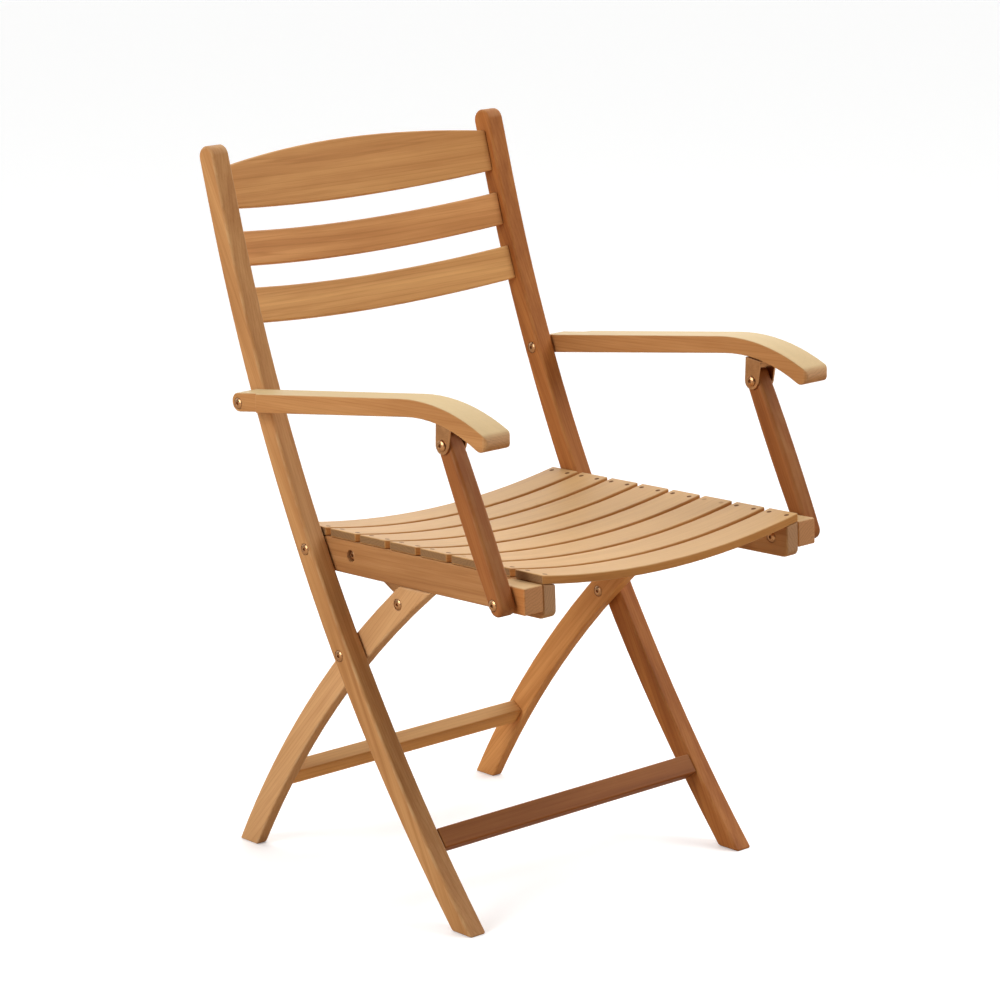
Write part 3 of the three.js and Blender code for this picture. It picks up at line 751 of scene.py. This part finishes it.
def make_camera():
    """A camera that looks at the target from its azimuth and elevation, rolled a little."""
    sideways = math.sin(CAMERA_AZIMUTH)
    forwards = math.cos(CAMERA_AZIMUTH)
    outwards = math.cos(CAMERA_ELEVATION)
    back = Vector((sideways * outwards, -forwards * outwards, math.sin(CAMERA_ELEVATION)))
    level = Vector((forwards, sideways, 0))
    up = back.cross(level)
    right = level * math.cos(CAMERA_ROLL) - up * math.sin(CAMERA_ROLL)
    top = level * math.sin(CAMERA_ROLL) + up * math.cos(CAMERA_ROLL)
    data = bpy.data.cameras.new("camera")
    data.sensor_width = CAMERA_SENSOR
    data.lens = CAMERA_LENS
    camera = bpy.data.objects.new("camera", data)
    turn = Matrix((right, top, back)).transposed().to_4x4()
    camera.matrix_world = Matrix.Translation(CAMERA_TARGET + back * CAMERA_DISTANCE) @ turn
    bpy.context.scene.collection.objects.link(camera)
    bpy.context.scene.camera = camera


def make_light(name, place, size, power):
    """A soft square light, aimed at the middle of the chair."""
    data = bpy.data.lights.new(name, "AREA")
    data.size = size
    data.energy = power
    light = bpy.data.objects.new(name, data)
    light.location = place
    aim = CAMERA_TARGET - Vector(place)
    light.rotation_euler = aim.to_track_quat("-Z", "Y").to_euler()
    bpy.context.scene.collection.objects.link(light)


LIGHTS = (  # name, place, width in metres and power in watts
    ("left", (-3.1, 0.4, 1.7), 1.8, 73),
    ("front", (-0.5, -1.9, 2.9), 1.8, 11),
    ("right", (1.9, -1.5, 2.8), 1.6, 46),
)

# The studio's even light, and a bright backdrop behind the chair on the sitter's left. The backdrop starts
# and is full where the cosine of the angle to its middle passes the two values.
WORLD_LEVEL = 0.12
BACKDROP_LEVEL = 1.9
BACKDROP_TOWARDS = (0.62, 0.68, 0.39)
BACKDROP_START = 0.2
BACKDROP_FULL = 0.85
WHITE = (1, 1, 1, 1)


def make_world():
    """A dim, even studio with a bright backdrop."""
    world = bpy.data.worlds.new("studio")
    world.use_nodes = True
    tree = world.node_tree
    place = tree.nodes.new("ShaderNodeTexCoord")
    facing = tree.nodes.new("ShaderNodeVectorMath")
    facing.operation = "DOT_PRODUCT"
    facing.inputs[1].default_value = BACKDROP_TOWARDS
    level = tree.nodes.new("ShaderNodeMapRange")
    level.interpolation_type = "SMOOTHSTEP"
    level.inputs["From Min"].default_value = BACKDROP_START
    level.inputs["From Max"].default_value = BACKDROP_FULL
    level.inputs["To Min"].default_value = WORLD_LEVEL
    level.inputs["To Max"].default_value = WORLD_LEVEL + BACKDROP_LEVEL
    tree.links.new(place.outputs["Generated"], facing.inputs[0])
    tree.links.new(facing.outputs["Value"], level.inputs["Value"])
    background = tree.nodes["Background"]
    background.inputs["Color"].default_value = WHITE
    tree.links.new(level.outputs["Result"], background.inputs["Strength"])
    bpy.context.scene.world = world


FLOOR_REACH = 40  # metres from the chair to each side
FLOOR_SEEN = (0.93, 0.93, 0.925, 1)
FLOOR_THROWN = (0.52, 0.42, 0.31, 1)
FLOOR_GLOW = 0.2
FLOOR_ROUGHNESS = 0.9


def make_floor():
    """A near white floor that glows a little to the eye, but throws back a warmer and weaker light."""
    reach = FLOOR_REACH
    mesh = bpy.data.meshes.new("floor")
    mesh.from_pydata([(-reach, -reach, 0), (reach, -reach, 0), (reach, reach, 0), (-reach, reach, 0)],
                     [], [(0, 1, 2, 3)])
    floor = bpy.data.objects.new("floor", mesh)
    bpy.context.scene.collection.objects.link(floor)
    paper = Graph("pale_floor")
    seen = paper.add("ShaderNodeLightPath", output="Is Camera Ray")
    paper.surface(paper.mix(seen, FLOOR_THROWN, FLOOR_SEEN), FLOOR_ROUGHNESS)
    paper.shader.inputs["Emission Color"].default_value = WHITE
    paper.feed(paper.shader.inputs["Emission Strength"], paper.math("MULTIPLY", seen, FLOOR_GLOW))
    mesh.materials.append(paper.material)


make_camera()
make_world()
make_floor()
for light in LIGHTS:
    make_light(*light)
bpy.context.scene.view_settings.view_transform = "Standard"
